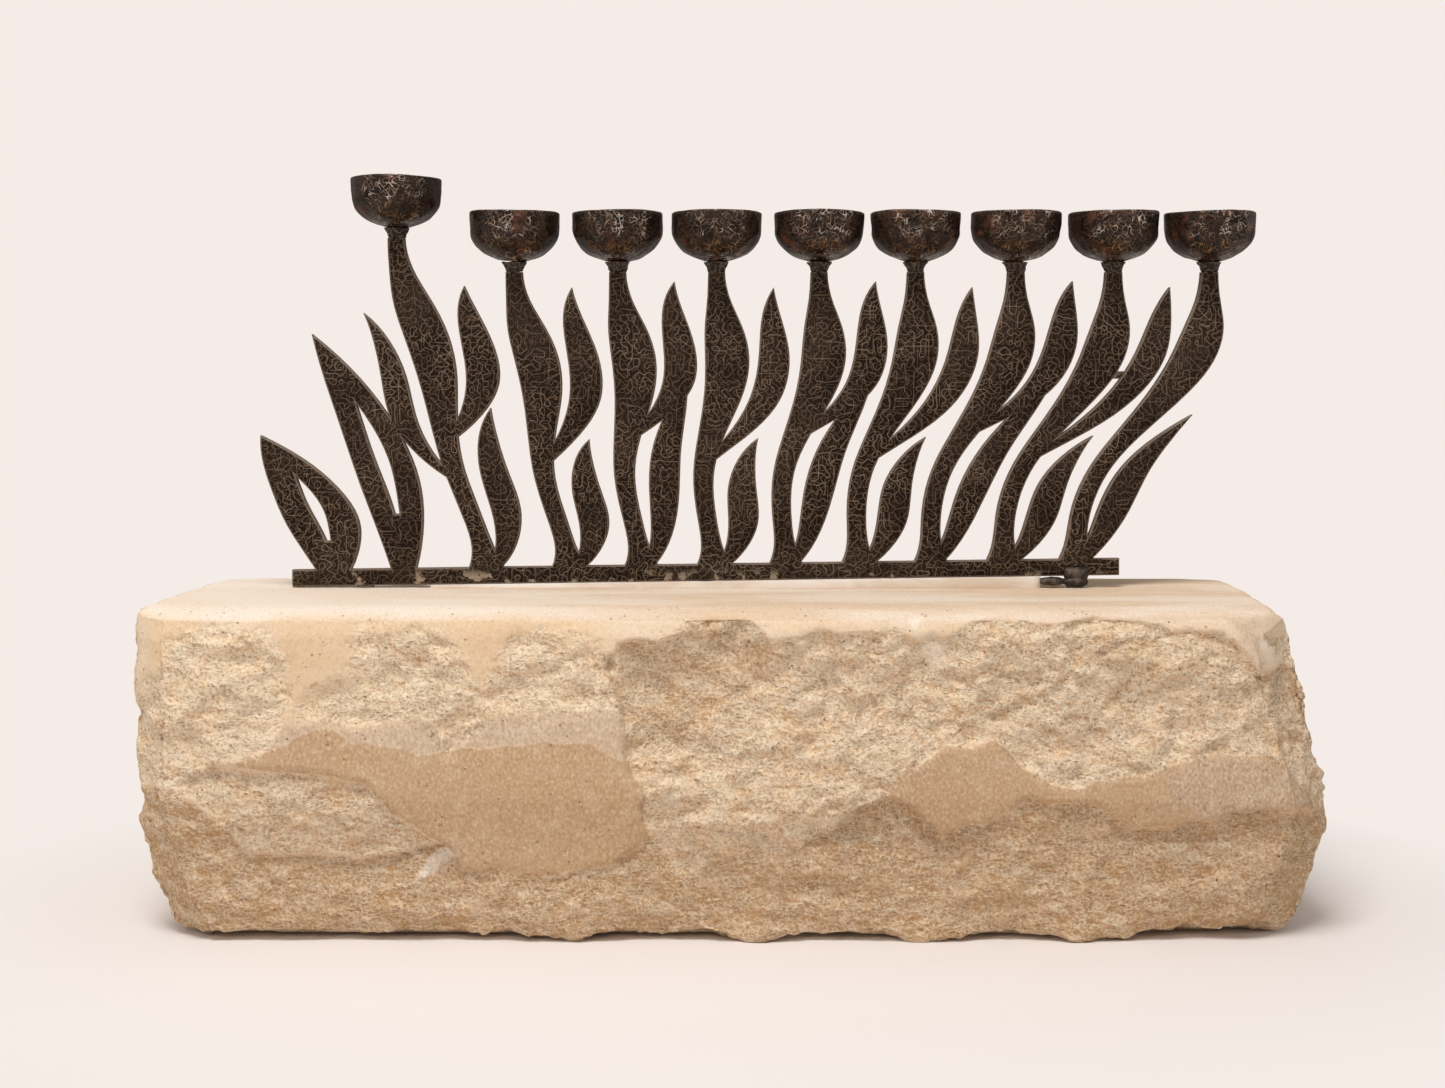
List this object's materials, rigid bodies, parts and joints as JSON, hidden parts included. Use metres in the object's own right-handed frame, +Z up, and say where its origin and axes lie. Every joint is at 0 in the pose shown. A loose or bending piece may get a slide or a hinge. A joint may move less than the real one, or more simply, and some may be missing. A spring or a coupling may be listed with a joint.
{
  "type": "hanukkah menorah",
  "caption": "Openwork iron plate of leafy boughs on a rock-faced stone block, with a level row of round oil bowls and one raised bowl for the lighting flame.",
  "frame": {"origin": "on the table under the middle of the whole object", "axes": "+X to the right along the plate, +Y to the back, +Z up"},
  "size_m": [0.378, 0.116, 0.2446],
  "materials": {
    "limestone": "rock-faced, with a sawn top",
    "plate_iron": "dark brown, textured",
    "bowl_iron": "hammered, glossy dark brown",
    "collar_iron": "dark brown, forged",
    "weld_metal": "rough weld",
    "mortar": "pale, smoothed mortar",
    "pin_steel": "plain round bar",
    "resin": "set resin"
  },
  "bodies": {
    "root": {"stone_block": "limestone", "openwork_plate": "plate_iron", "tie_bar": "plate_iron", "mortar_bed": "mortar", "anchor_weld_bead": "weld_metal", "anchor_pin_left": "pin_steel", "anchor_resin_left": "resin", "anchor_pin_middle": "pin_steel", "anchor_resin_middle": "resin", "anchor_pin_right": "pin_steel", "anchor_resin_right": "resin", "helper_bowl": "bowl_iron", "helper_collar": "collar_iron", "row_1_bowl": "bowl_iron", "row_1_collar": "collar_iron", "row_2_bowl": "bowl_iron", "row_2_collar": "collar_iron", "row_3_bowl": "bowl_iron", "row_3_collar": "collar_iron", "row_4_bowl": "bowl_iron", "row_4_collar": "collar_iron", "row_5_bowl": "bowl_iron", "row_5_collar": "collar_iron", "row_6_bowl": "bowl_iron", "row_6_collar": "collar_iron", "row_7_bowl": "bowl_iron", "row_7_collar": "collar_iron", "row_8_bowl": "bowl_iron", "row_8_collar": "collar_iron"}
  },
  "joints": []
}
